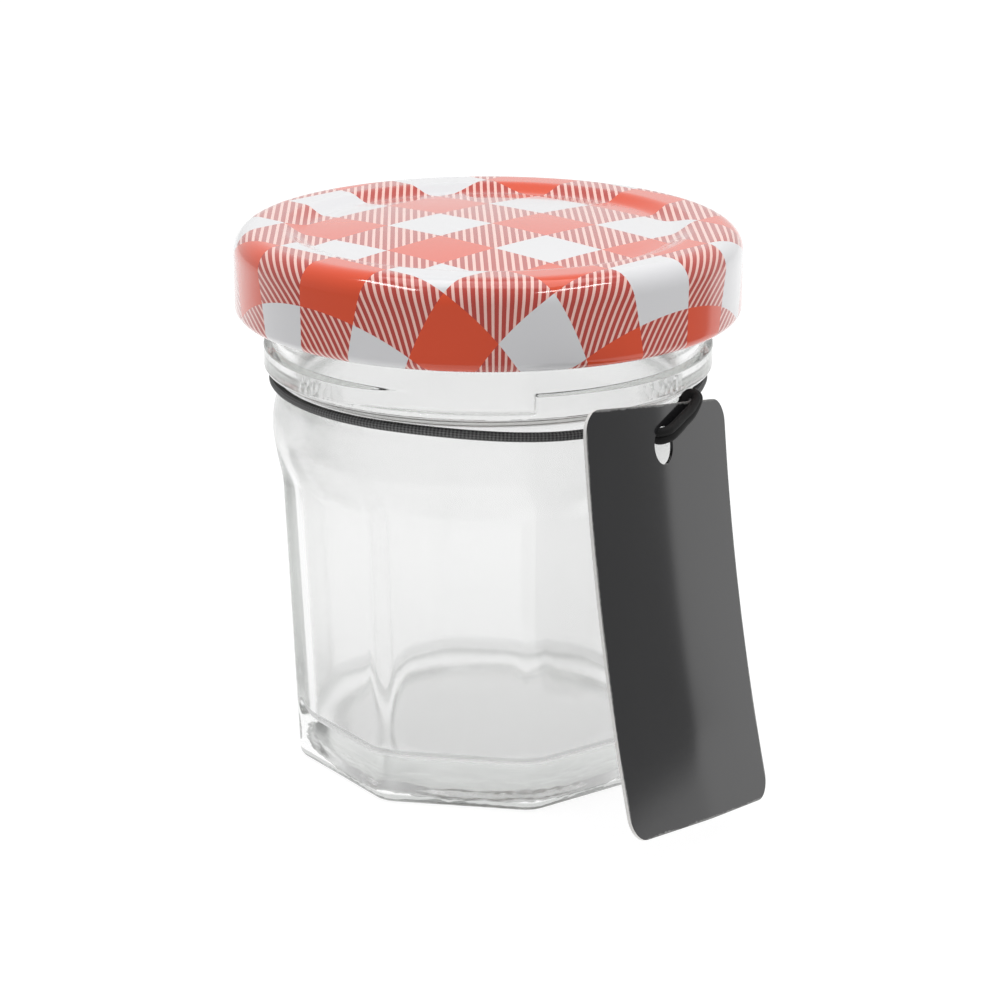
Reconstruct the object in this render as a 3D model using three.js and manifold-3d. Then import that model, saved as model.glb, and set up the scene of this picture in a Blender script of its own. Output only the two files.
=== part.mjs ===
// A small faceted preserving jar: a glass body with a twist-off tinplate lid, its sealing ring,
// an elastic cord in the neck groove and a card tag hitched on the cord.
// Millimetres, +Z up. The origin is the centre of the foot, and one facet faces -Y.

import * as THREE from 'three';
import { mergeVertices } from 'three/addons/utils/BufferGeometryUtils.js';
import Module from 'manifold-3d';

const wasm = await Module();
wasm.setup();

// Clearances between neighbours
const SEAT_GAP = 0.3; // pieces that rest on each other
const TURN_GAP = 0.35; // pieces that turn past each other
const CORD_GAP = 0.3; // cord to glass, and cord to the back of the card
const HITCH_GAP = 0.15; // hitch to card

// Glass body: facets, wall and foot
const FACETS = 8;
const FOOT_FLAT = 16.86; // axis to facet at the foot
const FLARE = 1; // how far the facets lean out over their height
const EDGE_ROUND = 2.5; // rounding of the upright edges
const INNER_EDGE_ROUND = 4.5; // the same on the inside
const HEEL_ROUND = 0.8;
const WALL = 2;
const FLOOR_THICKNESS = 3.8;
const FLOOR_ROUND = 0.9; // between the inner floor and the wall
const PUSH_UP = 0.8; // hollow under the foot
const PUSH_UP_SLOPE = 1.2; // width of the ramp from the hollow to the standing ring
const STANDING_RING = 2.4; // width of the flat ring the jar stands on

// Glass body: shoulder, groove and collar, each height counted from the one before
const FACET_HEIGHT = 26.5; // where the facets start to fade
const FADE_RISE = 4.8; // from there to the widest of the shoulder, where the body is round
const SHOULDER_INSET = 0.7; // the shoulder is this much smaller than the collar
const SHOULDER_DROOP = 0.05; // how far the shoulder has drawn in a third of the way to the groove
const GROOVE_RISE = 4.65; // to the middle of the cord
const GROOVE_FLANK = 1.5; // middle of the cord down to the middle of the groove's lower flank
const COLLAR_RISE = 1.55; // to the upright band of the collar
const COLLAR_BAND = 0.1;
const COLLAR_ROUND = 0.25;
const RUN_RISE = 1.9; // to the top of the raised runs on the collar
const RUNS = 2; // one from each half of the mould
const RUN_START = 20.4; // degrees from -Y towards +X, at the mould's seam
const RUN_LENGTH = 147; // degrees

// Glass finish: what the lid screws on
const STARTS = 4; // lugs on the lid, and threads on the glass
const FINISH_RADIUS = 19.6;
const FINISH_WALL = 2;
const FINISH_RISE = 8.9; // from the runs to the lip
const LIP_ROUND = 0.7;
const COLLAR_DEPTH = 0.85; // how far the collar stands out from the finish
const THREAD_DEPTH = 1.3; // how far the threads stand out
const THREAD_THICKNESS = 0.9;
const THREAD_LENGTH = 55; // degrees
const THREAD_ANGLE = 32; // degrees, the low end of the first thread
const LEAD = 12; // rise of the lid in one full turn

// Lid
const LID_CLEAR = 2.64; // from the runs to the lower edge of the lid
const LID_SHEET = 0.25;
const LID_EDGE_ROUND = 2.1;
const LAND_WIDTH = 2.09; // level ring between the rounded edge and the ramp round the panel
const PANEL_DEPTH = 0.7; // the edge of the panel lies this much under the land
const PANEL_STEP = 2.4; // width of the ramp round the panel
const PANEL_DOME = 0.53; // the middle of the panel stands this much over its edge
const CURL_RADIUS = 0.875;
const CURL_RETURN = 0.4; // upright end of the curl
const LUG_WIDTH = 16; // degrees
const LUG_LEAD_IN = 4; // degrees from the low end of the thread to the lug
const LUG_THICKNESS = 0.8;
const LUG_LIFT = 0.3; // above the lower edge of the curl

// Sealing ring
const GASKET_THICKNESS = 0.75;
const GASKET_OVERHANG = 0.6; // past the lip's wall, outside
const GASKET_UNDERLAP = 0.3; // past the land, under the ramp round the panel

// Cord: a loop in the groove that is hitched over the top edge of the tag and through its hole
const CORD_DIAMETER = 0.85;
const CORD_SIDES = 8;
const HITCH_ACROSS = 6.1; // middle of the card to where the hitch crosses its top edge
const HITCH_BELOW = 0.35; // top edge of the card to the cord that comes from the groove
const LOOP_RISE = 0.15; // middle of the groove to the middle of the cord
const LOOP_SAG = 0.65; // how far the front strand sags where it leaves the groove
const SAG_REACH = 50; // degrees of the neck over which it sags

// Tag: the card leans out, is bent a little along its height and hangs with one corner low
const TAG_WIDTH = 25;
const TAG_LENGTH = 35.7;
const TAG_THICKNESS = 0.4;
const TAG_CORNER = 2.2;
const TAG_HOLE_RADIUS = 1.65;
const TAG_HOLE_DEPTH = 3.5; // top edge to the middle of the hole
const TAG_HOLE_ACROSS = 0.3; // middle of the card to the middle of the hole
const TAG_FACING = 67.5; // degrees from -Y towards +X
const TAG_TILT = -11; // degrees, in the plane of the card
const TAG_LEAN_TOP = 10.2; // degrees from upright
const TAG_LEAN_BOTTOM = 18.9;
const TAG_RISE = 2.55; // middle of the groove to the middle of the top edge
const TAG_ASIDE = -8.55; // middle of the top edge to the line through the axis that the card faces along

// Radii that follow from the fits: the lid's curl turns past the threads, the cord lies flush with the collar
const TOP_FLAT = FOOT_FLAT + FLARE;
const COLLAR_RADIUS = FINISH_RADIUS + COLLAR_DEPTH;
const SHOULDER_RADIUS = COLLAR_RADIUS - SHOULDER_INSET;
const THREAD_RADIUS = FINISH_RADIUS + THREAD_DEPTH;
const NECK_RADIUS = FINISH_RADIUS - FINISH_WALL;
const CURL_INNER = THREAD_RADIUS + TURN_GAP;
const LID_RADIUS = CURL_INNER + 2 * CURL_RADIUS;
const LAND_RADIUS = LID_RADIUS - LID_EDGE_ROUND - LAND_WIDTH;
const PANEL_RADIUS = LAND_RADIUS - PANEL_STEP;
const CORD_PATH_RADIUS = COLLAR_RADIUS - CORD_DIAMETER;
const TAG_STANDOFF = COLLAR_RADIUS + CORD_DIAMETER + 2 * CORD_GAP + TAG_THICKNESS;

// Heights that follow: the lip carries the sealing ring, the ring the lid, and the lugs lie under the threads
const SHOULDER_HEIGHT = FACET_HEIGHT + FADE_RISE;
const GROOVE_HEIGHT = SHOULDER_HEIGHT + GROOVE_RISE;
const COLLAR_HEIGHT = GROOVE_HEIGHT + COLLAR_RISE;
const RUN_TOP = COLLAR_HEIGHT + COLLAR_BAND + RUN_RISE;
const LIP_HEIGHT = RUN_TOP + FINISH_RISE;
const GASKET_BOTTOM = LIP_HEIGHT + SEAT_GAP;
const LID_TOP = GASKET_BOTTOM + GASKET_THICKNESS + SEAT_GAP + LID_SHEET;
const LID_BOTTOM = RUN_TOP + LID_CLEAR;
const LUG_BOTTOM = LID_BOTTOM + LUG_LIFT;
const THREAD_BOTTOM = LUG_BOTTOM + LUG_THICKNESS + SEAT_GAP;

// Number of straight pieces in a full round, a quarter round, the curl, the panel, the cords and the card
const ROUND_STEPS = 64;
const ARC_STEPS = 5;
const CURL_STEPS = 6;
const DOME_STEPS = 4;
const FADE_STEPS = 4;
const LOOP_STEPS = 72;
const HITCH_STEPS = 44;
const CARD_STEPS = 12;
const RING_POINTS = 32; // points of the cord in the groove
const LEAD_POINTS = 4; // points of the cord from the groove to the hitch

const RAD = Math.PI / 180;
const HALF_FACET = Math.PI / FACETS;

// A closed solid from a geometry, for joins and cuts
function solid(geometry) {
  const bare = new THREE.BufferGeometry();
  bare.setAttribute('position', geometry.getAttribute('position'));
  if (geometry.index) bare.setIndex(geometry.index);
  const merged = mergeVertices(bare, 1e-4);
  const index = merged.index.array;
  const kept = [];
  for (let i = 0; i < index.length; i += 3) {
    const [a, b, c] = [index[i], index[i + 1], index[i + 2]];
    if (a !== b && b !== c && c !== a) kept.push(a, b, c);
  }
  return new wasm.Manifold(new wasm.Mesh({
    numProp: 3,
    vertProperties: new Float32Array(merged.getAttribute('position').array),
    triVerts: new Uint32Array(kept),
  }));
}

// Back from a solid to a geometry
function geometryOf(body) {
  const mesh = body.getMesh();
  const geometry = new THREE.BufferGeometry();
  geometry.setAttribute('position', new THREE.BufferAttribute(mesh.vertProperties, 3));
  geometry.setIndex(new THREE.BufferAttribute(mesh.triVerts, 1));
  geometry.computeVertexNormals();
  return geometry;
}

// Points of an arc in the radius-height plane, angles in degrees
function arc(radius, height, round, from, to, steps = ARC_STEPS) {
  const points = [];
  for (let i = 0; i <= steps; i += 1) {
    const angle = (from + (to - from) * i / steps) * RAD;
    points.push([radius + round * Math.cos(angle), height + round * Math.sin(angle)]);
  }
  return points;
}

// A turned ring or body, its axis on +Z; the angle 0 is at -Y and runs towards +X
function turned(profile, steps = ROUND_STEPS) {
  const points = profile.map(([radius, height]) => new THREE.Vector2(radius, height));
  return new THREE.LatheGeometry(points, steps).rotateX(Math.PI / 2);
}

// A ridge on a cylinder: a sector of a ring that climbs with its angle
function ridge(inner, outer, bottom, height, start, length, lead = 0) {
  const shape = new THREE.Shape();
  shape.absarc(0, 0, outer, 0, length * RAD, false);
  shape.absarc(0, 0, inner, length * RAD, 0, true);
  shape.closePath();
  const geometry = new THREE.ExtrudeGeometry(shape, {
    depth: height,
    bevelEnabled: false,
    curveSegments: Math.ceil(length / 360 * ROUND_STEPS),
  });
  const position = geometry.getAttribute('position');
  for (let i = 0; i < position.count; i += 1) {
    const turn = Math.atan2(position.getY(i), position.getX(i)) / (2 * Math.PI);
    position.setZ(i, position.getZ(i) + bottom + lead * turn);
  }
  return geometry.rotateZ((start - 90) * RAD);
}

// A point round the axis; the angle runs from -Y towards +X
function onRing(angle, radius, height) {
  return new THREE.Vector3(radius * Math.sin(angle), -radius * Math.cos(angle), height);
}

// A round cord along points, with flat ends
function cordAlong(points, steps) {
  const section = new THREE.Shape();
  for (let i = 0; i < CORD_SIDES; i += 1) {
    const angle = 2 * Math.PI * i / CORD_SIDES;
    const x = CORD_DIAMETER / 2 * Math.cos(angle);
    const y = CORD_DIAMETER / 2 * Math.sin(angle);
    if (i === 0) section.moveTo(x, y);
    else section.lineTo(x, y);
  }
  section.closePath();
  const path = new THREE.CatmullRomCurve3(points, false, 'centripetal');
  return new THREE.ExtrudeGeometry(section, { steps, extrudePath: path, bevelEnabled: false });
}

// How far out the rounded polygon lies at an angle from the middle of a facet, for a facet at distance 1
function facetReach(angle, round) {
  const fromEdge = HALF_FACET - Math.abs(angle);
  const centre = (1 - round) / Math.cos(HALF_FACET);
  const side = centre * Math.sin(fromEdge);
  const flat = 1 / Math.cos(angle);
  const tangent = Math.atan((1 - round) * Math.tan(HALF_FACET));
  if (Math.abs(angle) <= tangent) return flat;
  return centre * Math.cos(fromEdge) + Math.sqrt(round * round - side * side);
}

// Angles across one facet, close together at its rounded edges
const EDGE_ANGLE = HALF_FACET - Math.atan((1 - EDGE_ROUND / TOP_FLAT) * Math.tan(HALF_FACET));
const FACET_ANGLES = [
  -HALF_FACET,
  -HALF_FACET + EDGE_ANGLE / 2,
  -HALF_FACET + EDGE_ANGLE,
  -(HALF_FACET - EDGE_ANGLE) / 3,
  (HALF_FACET - EDGE_ANGLE) / 3,
  HALF_FACET - EDGE_ANGLE,
  HALF_FACET - EDGE_ANGLE / 2,
];

// A body that is turned where its profile says round and faceted where it says flat.
// Each profile point is [radius, height, share of facet, edge rounding].
function facetedBody(profile) {
  const steps = FACETS * FACET_ANGLES.length;
  const geometry = new THREE.LatheGeometry(profile.map(([r, z]) => new THREE.Vector2(r, z)), steps);
  const position = geometry.getAttribute('position');
  for (let i = 0; i < position.count; i += 1) {
    const column = Math.floor(i / profile.length) % steps;
    const [radius, height, share, round] = profile[i % profile.length];
    const across = FACET_ANGLES[column % FACET_ANGLES.length];
    const angle = across + 2 * HALF_FACET * Math.floor(column / FACET_ANGLES.length);
    const reach = share > 0 ? 1 + share * (facetReach(across, round / radius) - 1) : 1;
    position.setXYZ(i, radius * reach * Math.sin(angle), height, radius * reach * Math.cos(angle));
  }
  return geometry.rotateX(Math.PI / 2);
}

// The part of a profile between the facets and the round shoulder: [radius, height, share of facet]
function fade(flat, round) {
  const points = [];
  for (let i = 1; i < FADE_STEPS; i += 1) {
    const t = i / FADE_STEPS;
    const share = 1 - t * t * (3 - 2 * t);
    points.push([round + (flat - round) * share, FACET_HEIGHT + FADE_RISE * t, share]);
  }
  return points;
}

// Jar: outer profile from the middle of the foot up to the lip, then the inside down to the floor
function jarProfile() {
  const turnedPart = (points) => points.map(([radius, height]) => [radius, height, 0, 0]);
  const facetPart = (points, round) => points.map(([r, height, share = 1]) => [r, height, share, round]);
  const heel = FOOT_FLAT - HEEL_ROUND;
  const hollow = heel - STANDING_RING;
  const grooveRadius = CORD_PATH_RADIUS - CORD_DIAMETER / 2 - CORD_GAP;
  const bandTop = COLLAR_HEIGHT + COLLAR_BAND;
  const flatFloor = FOOT_FLAT - WALL - FLOOR_ROUND;
  const floorCorner = arc(flatFloor, FLOOR_THICKNESS + FLOOR_ROUND, FLOOR_ROUND, 0, -90);
  const topInner = TOP_FLAT - WALL;
  return [
    ...turnedPart([[0, PUSH_UP], [hollow - PUSH_UP_SLOPE, PUSH_UP], [hollow, 0]]),
    ...facetPart(arc(heel, HEEL_ROUND, HEEL_ROUND, -90, 0), EDGE_ROUND),
    ...facetPart([[TOP_FLAT, FACET_HEIGHT], ...fade(TOP_FLAT, SHOULDER_RADIUS)], EDGE_ROUND),
    ...turnedPart([
      [SHOULDER_RADIUS, SHOULDER_HEIGHT],
      [SHOULDER_RADIUS - SHOULDER_DROOP, SHOULDER_HEIGHT + GROOVE_RISE / 3],
      [(SHOULDER_RADIUS + grooveRadius) / 2, GROOVE_HEIGHT - GROOVE_FLANK],
      [grooveRadius, GROOVE_HEIGHT - CORD_DIAMETER / 2],
      [grooveRadius, GROOVE_HEIGHT + CORD_DIAMETER / 2],
      [COLLAR_RADIUS - COLLAR_ROUND / 2, COLLAR_HEIGHT - COLLAR_ROUND],
      [COLLAR_RADIUS, COLLAR_HEIGHT],
      [COLLAR_RADIUS, bandTop],
      [COLLAR_RADIUS - COLLAR_ROUND, bandTop + COLLAR_ROUND],
      [FINISH_RADIUS, bandTop + COLLAR_ROUND],
      ...arc(FINISH_RADIUS - LIP_ROUND, LIP_HEIGHT - LIP_ROUND, LIP_ROUND, 0, 90),
      ...arc(NECK_RADIUS + LIP_ROUND, LIP_HEIGHT - LIP_ROUND, LIP_ROUND, 90, 180),
      [NECK_RADIUS, SHOULDER_HEIGHT],
    ]),
    ...facetPart([...fade(topInner, NECK_RADIUS).reverse(), [topInner, FACET_HEIGHT]], INNER_EDGE_ROUND),
    ...facetPart(floorCorner, INNER_EDGE_ROUND),
    ...turnedPart([[0, FLOOR_THICKNESS]]),
  ];
}

// Lid: the underside from the middle of the panel to the curl, then back up the outside
function lidProfile() {
  const edge = LID_RADIUS - LID_EDGE_ROUND;
  const edgeHeight = LID_TOP - LID_EDGE_ROUND;
  const curlCentre = CURL_INNER + CURL_RADIUS;
  const curlHeight = LID_BOTTOM + CURL_RADIUS;
  const panel = [];
  for (let i = 0; i <= DOME_STEPS; i += 1) {
    const t = i / DOME_STEPS;
    panel.push([PANEL_RADIUS * t, LID_TOP - PANEL_DEPTH + PANEL_DOME * (1 - t * t)]);
  }
  return [
    ...panel.map(([radius, height]) => [radius, height - LID_SHEET]),
    [LAND_RADIUS, LID_TOP - LID_SHEET],
    ...arc(edge, edgeHeight, LID_EDGE_ROUND - LID_SHEET, 90, 0),
    ...arc(curlCentre, curlHeight, CURL_RADIUS - LID_SHEET, 0, -180, CURL_STEPS),
    [CURL_INNER + LID_SHEET, curlHeight + CURL_RETURN],
    [CURL_INNER, curlHeight + CURL_RETURN],
    ...arc(curlCentre, curlHeight, CURL_RADIUS, -180, 0, CURL_STEPS),
    ...arc(edge, edgeHeight, LID_EDGE_ROUND, 0, 90),
    [LAND_RADIUS, LID_TOP],
    ...panel.reverse(),
  ];
}

function makeJar() {
  let body = solid(facetedBody(jarProfile()));
  const root = FINISH_RADIUS - FINISH_WALL / 2;
  const runBottom = COLLAR_HEIGHT + COLLAR_BAND / 2;
  for (let i = 0; i < RUNS; i += 1) {
    const start = RUN_START + 360 * i / RUNS;
    const run = ridge(root, COLLAR_RADIUS, runBottom, RUN_TOP - runBottom, start, RUN_LENGTH);
    body = body.add(solid(run));
  }
  for (let i = 0; i < STARTS; i += 1) {
    const low = THREAD_ANGLE + 360 * i / STARTS;
    const thread = ridge(root, THREAD_RADIUS, THREAD_BOTTOM, THREAD_THICKNESS, low, THREAD_LENGTH, LEAD);
    body = body.add(solid(thread));
  }
  return geometryOf(body);
}

function makeLid() {
  let body = solid(turned(lidProfile()));
  const tip = FINISH_RADIUS + TURN_GAP;
  const root = CURL_INNER + LID_SHEET / 2;
  for (let i = 0; i < STARTS; i += 1) {
    const start = THREAD_ANGLE + LUG_LEAD_IN + 360 * i / STARTS;
    body = body.add(solid(ridge(tip, root, LUG_BOTTOM, LUG_THICKNESS, start, LUG_WIDTH)));
  }
  return geometryOf(body);
}

function makeGasket() {
  const inner = LAND_RADIUS - GASKET_UNDERLAP;
  const outer = FINISH_RADIUS + GASKET_OVERHANG;
  const top = GASKET_BOTTOM + GASKET_THICKNESS;
  const start = [inner, GASKET_BOTTOM];
  return turned([start, [outer, GASKET_BOTTOM], [outer, top], [inner, top], start]);
}

// Tag frame: x along the card's width, y up the card, z out of its face
const facing = TAG_FACING * RAD;
const level = new THREE.Vector3(Math.cos(facing), Math.sin(facing), 0);
const outward = new THREE.Vector3(Math.sin(facing), -Math.cos(facing), 0);
const tagAcross = level.clone().applyAxisAngle(outward, TAG_TILT * RAD);
const tagUp = new THREE.Vector3().crossVectors(outward, tagAcross);
const tagFrame = new THREE.Matrix4().makeBasis(tagAcross, tagUp, outward);

// Middle of the card's top edge, on its front face
const tagTop = new THREE.Vector3(0, 0, GROOVE_HEIGHT + TAG_RISE);
tagTop.addScaledVector(outward, TAG_STANDOFF).addScaledVector(level, TAG_ASIDE);

// The card's bend: how far out and down its front face lies at a distance from the top edge
const BEND = (TAG_LEAN_BOTTOM - TAG_LEAN_TOP) * RAD;
const BEND_RADIUS = TAG_LENGTH / BEND;
function cardPoint(distance, depth = 0) {
  const lean = TAG_LEAN_TOP * RAD + BEND * distance / TAG_LENGTH;
  const first = TAG_LEAN_TOP * RAD;
  const out = BEND_RADIUS * (Math.cos(first) - Math.cos(lean));
  const down = BEND_RADIUS * (Math.sin(lean) - Math.sin(first));
  return { out: out - depth * Math.cos(lean), up: -down - depth * Math.sin(lean) };
}

function makeTag() {
  const strip = new THREE.Shape();
  for (let i = 0; i <= CARD_STEPS; i += 1) {
    const { out, up } = cardPoint(TAG_LENGTH * i / CARD_STEPS);
    if (i === 0) strip.moveTo(out, up);
    else strip.lineTo(out, up);
  }
  for (let i = CARD_STEPS; i >= 0; i -= 1) {
    const { out, up } = cardPoint(TAG_LENGTH * i / CARD_STEPS, TAG_THICKNESS);
    strip.lineTo(out, up);
  }
  strip.closePath();
  const sheet = new THREE.ExtrudeGeometry(strip, { depth: TAG_WIDTH, bevelEnabled: false });
  sheet.translate(0, 0, -TAG_WIDTH / 2).rotateY(-Math.PI / 2);

  const foot = cardPoint(TAG_LENGTH);
  const margin = 2 * TAG_THICKNESS;
  const half = TAG_WIDTH / 2;
  const outline = new THREE.Shape();
  const bottom = foot.up - TAG_THICKNESS;
  outline.moveTo(-half + TAG_CORNER, bottom);
  outline.lineTo(half - TAG_CORNER, bottom);
  outline.absarc(half - TAG_CORNER, bottom + TAG_CORNER, TAG_CORNER, -Math.PI / 2, 0, false);
  outline.absarc(half - TAG_CORNER, -TAG_CORNER, TAG_CORNER, 0, Math.PI / 2, false);
  outline.absarc(-half + TAG_CORNER, -TAG_CORNER, TAG_CORNER, Math.PI / 2, Math.PI, false);
  outline.absarc(-half + TAG_CORNER, bottom + TAG_CORNER, TAG_CORNER, Math.PI, 1.5 * Math.PI, false);
  const reach = foot.out + 2 * margin;
  const cut = { depth: reach, bevelEnabled: false, curveSegments: ARC_STEPS };
  const cutter = new THREE.ExtrudeGeometry(outline, cut);
  cutter.translate(0, 0, -margin);

  const eye = cardPoint(TAG_HOLE_DEPTH);
  const hole = new THREE.CylinderGeometry(TAG_HOLE_RADIUS, TAG_HOLE_RADIUS, 4 * margin, 4 * ARC_STEPS);
  hole.rotateX(Math.PI / 2).translate(TAG_HOLE_ACROSS, eye.up, eye.out);
  return geometryOf(solid(sheet).intersect(solid(cutter)).subtract(solid(hole)));
}

// The hitch: over the top edge, down the face, through the hole, round behind it and back beside itself
function makeHitch() {
  const lift = CORD_DIAMETER / 2 + HITCH_GAP;
  const apart = (CORD_DIAMETER + HITCH_GAP) / 2;
  const eye = cardPoint(TAG_HOLE_DEPTH);
  // The upper strand lies against the rim of the hole, clear of it by the gap
  const pull = TAG_HOLE_RADIUS - lift - apart;
  const way = new THREE.Vector2(HITCH_ACROSS - TAG_HOLE_ACROSS, -eye.up).normalize();
  const start = new THREE.Vector2(TAG_HOLE_ACROSS - way.y * pull, eye.up + way.x * pull);
  const whole = Math.hypot(HITCH_ACROSS - start.x, start.y);
  const along = new THREE.Vector2(HITCH_ACROSS - start.x, -start.y).divideScalar(whole);
  const strand = (side) => {
    const edge = HITCH_ACROSS - side * apart;
    const rim = Math.sqrt(TAG_HOLE_RADIUS ** 2 - (pull + side * apart) ** 2);
    // A point on the way from the hole to the edge, above the face of the card
    const onFace = (distance, above) => {
      const x = start.x + along.x * distance - along.y * side * apart;
      const y = start.y + along.y * distance + along.x * side * apart;
      return new THREE.Vector3(x, y, cardPoint(Math.max(-y, 0)).out + above);
    };
    return [
      new THREE.Vector3(edge, lift, -1.5 * TAG_THICKNESS),
      new THREE.Vector3(edge, lift + HITCH_GAP / 2, -TAG_THICKNESS / 2),
      new THREE.Vector3(edge, lift * Math.SQRT1_2, lift * Math.SQRT1_2),
      onFace(whole * 3 / 4, lift),
      onFace(whole / 2, lift),
      onFace(rim + CORD_DIAMETER / 2, lift),
      onFace(rim / 2, CORD_DIAMETER / 2),
      onFace(0, -TAG_THICKNESS / 2),
      onFace(0, -TAG_THICKNESS - lift / 2),
    ];
  };
  const turn = new THREE.Vector3(start.x, start.y, eye.out - TAG_THICKNESS - lift / 2 - apart);
  return cordAlong([...strand(1), turn, ...strand(-1).reverse()], HITCH_STEPS);
}

// The loop: round the groove, sagging at its front end, and at both ends straight out and up to the hitch
function makeLoop() {
  const behind = CORD_DIAMETER / 2 + CORD_GAP + TAG_THICKNESS;
  const strandEnd = (side) => {
    const across = HITCH_ACROSS - side * (CORD_DIAMETER + HITCH_GAP) / 2;
    return new THREE.Vector3(across, -HITCH_BELOW, -behind).applyMatrix4(tagFrame).add(tagTop);
  };
  const lead = (end, side, height) => {
    const angle = Math.atan2(end.x, -end.y);
    const reach = Math.acos(CORD_PATH_RADIUS / Math.hypot(end.x, end.y));
    const points = [end];
    for (let i = LEAD_POINTS - 1; i > 0; i -= 1) {
      const left = reach * i / LEAD_POINTS;
      const climb = (end.z - height) * (i / LEAD_POINTS) ** 3;
      const radius = CORD_PATH_RADIUS / Math.cos(left);
      points.push(onRing(angle + side * (reach - left), radius, height + climb));
    }
    return { points, leaves: angle + side * reach };
  };
  const ringHeight = GROOVE_HEIGHT + LOOP_RISE;
  const rear = lead(strandEnd(-1), 1, ringHeight);
  const front = lead(strandEnd(1), -1, ringHeight - LOOP_SAG);
  const ring = [];
  const span = front.leaves + 2 * Math.PI - rear.leaves;
  for (let i = 0; i <= RING_POINTS; i += 1) {
    const left = span * (1 - i / RING_POINTS);
    const fade = Math.min(left / (SAG_REACH * RAD), 1);
    const sag = LOOP_SAG * (1 + Math.cos(Math.PI * fade)) / 2;
    ring.push(onRing(rear.leaves + span - left, CORD_PATH_RADIUS, ringHeight - sag));
  }
  return cordAlong([...rear.points, ...ring, ...front.points.reverse()], LOOP_STEPS);
}

const tag = new THREE.Group();
tag.position.copy(tagTop);
tag.setRotationFromMatrix(tagFrame);

const jar = new THREE.Group();
jar.add(tag);

function addMesh(parent, name, geometry, color, roughness, metalness, opacity = 1) {
  const material = new THREE.MeshStandardMaterial({ color, roughness, metalness });
  material.transparent = opacity < 1;
  material.opacity = opacity;
  const mesh = new THREE.Mesh(geometry, material);
  mesh.name = name;
  parent.add(mesh);
}

addMesh(jar, 'jar_glass', makeJar(), 0xe6ebe8, 0.05, 0, 0.35);
addMesh(jar, 'lid_shell', makeLid(), 0xd64832, 0.25, 0.4);
addMesh(jar, 'lid_gasket', makeGasket(), 0xe9e4d8, 0.6, 0);
addMesh(jar, 'neck_cord', makeLoop(), 0x1b1b1d, 0.8, 0);
addMesh(tag, 'tag_hitch', makeHitch(), 0x1b1b1d, 0.8, 0);
addMesh(tag, 'swing_tag', makeTag(), 0x3f4142, 0.45, 0);

export default jar;
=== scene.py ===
# %% [markdown]
# A small faceted preserving jar with a gingham lid and a card tag on a cord.
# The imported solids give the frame: where every piece is and what it moves with. Each cell below dresses one
# piece in its real surface. Lengths are written in millimetres, as a drawing would give them, and MM turns them
# into Blender's metres.

# %% Frame
import math

import bmesh
import bpy
from mathutils import Matrix, Vector


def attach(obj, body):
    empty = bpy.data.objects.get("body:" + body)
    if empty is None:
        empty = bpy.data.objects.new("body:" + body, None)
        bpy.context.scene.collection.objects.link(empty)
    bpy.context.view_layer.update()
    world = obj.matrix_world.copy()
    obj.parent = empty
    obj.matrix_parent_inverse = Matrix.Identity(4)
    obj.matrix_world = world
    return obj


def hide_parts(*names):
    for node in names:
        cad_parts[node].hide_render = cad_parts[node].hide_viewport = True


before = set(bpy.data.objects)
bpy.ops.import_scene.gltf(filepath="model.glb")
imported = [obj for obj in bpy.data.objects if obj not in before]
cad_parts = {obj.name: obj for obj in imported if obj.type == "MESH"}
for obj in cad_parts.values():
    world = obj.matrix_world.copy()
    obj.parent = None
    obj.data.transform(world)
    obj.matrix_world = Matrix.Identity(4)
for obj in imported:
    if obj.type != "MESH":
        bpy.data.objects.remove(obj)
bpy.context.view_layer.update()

MM = 0.001
print("solids:", sorted(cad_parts))


def placed(name, data):
    """A new object in the scene."""
    piece = bpy.data.objects.new(name, data)
    bpy.context.scene.collection.objects.link(piece)
    return piece


# %% [markdown]
# The camera stands where the photographer stood: a little to the right of the front facet, looking down by
# about 18 degrees through a long lens. It could be aimed with a constraint, but its three directions are known,
# so they are written straight into its matrix and nothing has to be solved.

# %% Camera
EYE = Vector((42.988, -257.436, 107.4)) * MM
LOOK = Vector((-0.152918, 0.939985, -0.305031))
SIDE = Vector((0.986946, 0.161043, 0.001496))
ABOVE = Vector((-0.050529, 0.300820, 0.952341))

camera_data = bpy.data.cameras.new("photo_camera")
camera_data.sensor_width = 36
camera_data.lens = 106.27
camera_data.clip_start = 0.01
camera = placed("photo_camera", camera_data)
camera.matrix_world = Matrix((SIDE, ABOVE, -LOOK)).transposed().to_4x4()
camera.matrix_world.translation = EYE
bpy.context.scene.camera = camera
print("camera at", tuple(round(x, 4) for x in EYE))

# %% [markdown]
# Both finishes and shapes are drawn as node trees here. A tree built node by node is hard to read, so one small
# class stands for a socket: adding or multiplying two of them puts a Math node in the tree, and one method puts
# in any other node. The same class serves materials and Geometry Nodes, because both trees link sockets alike.


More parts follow.
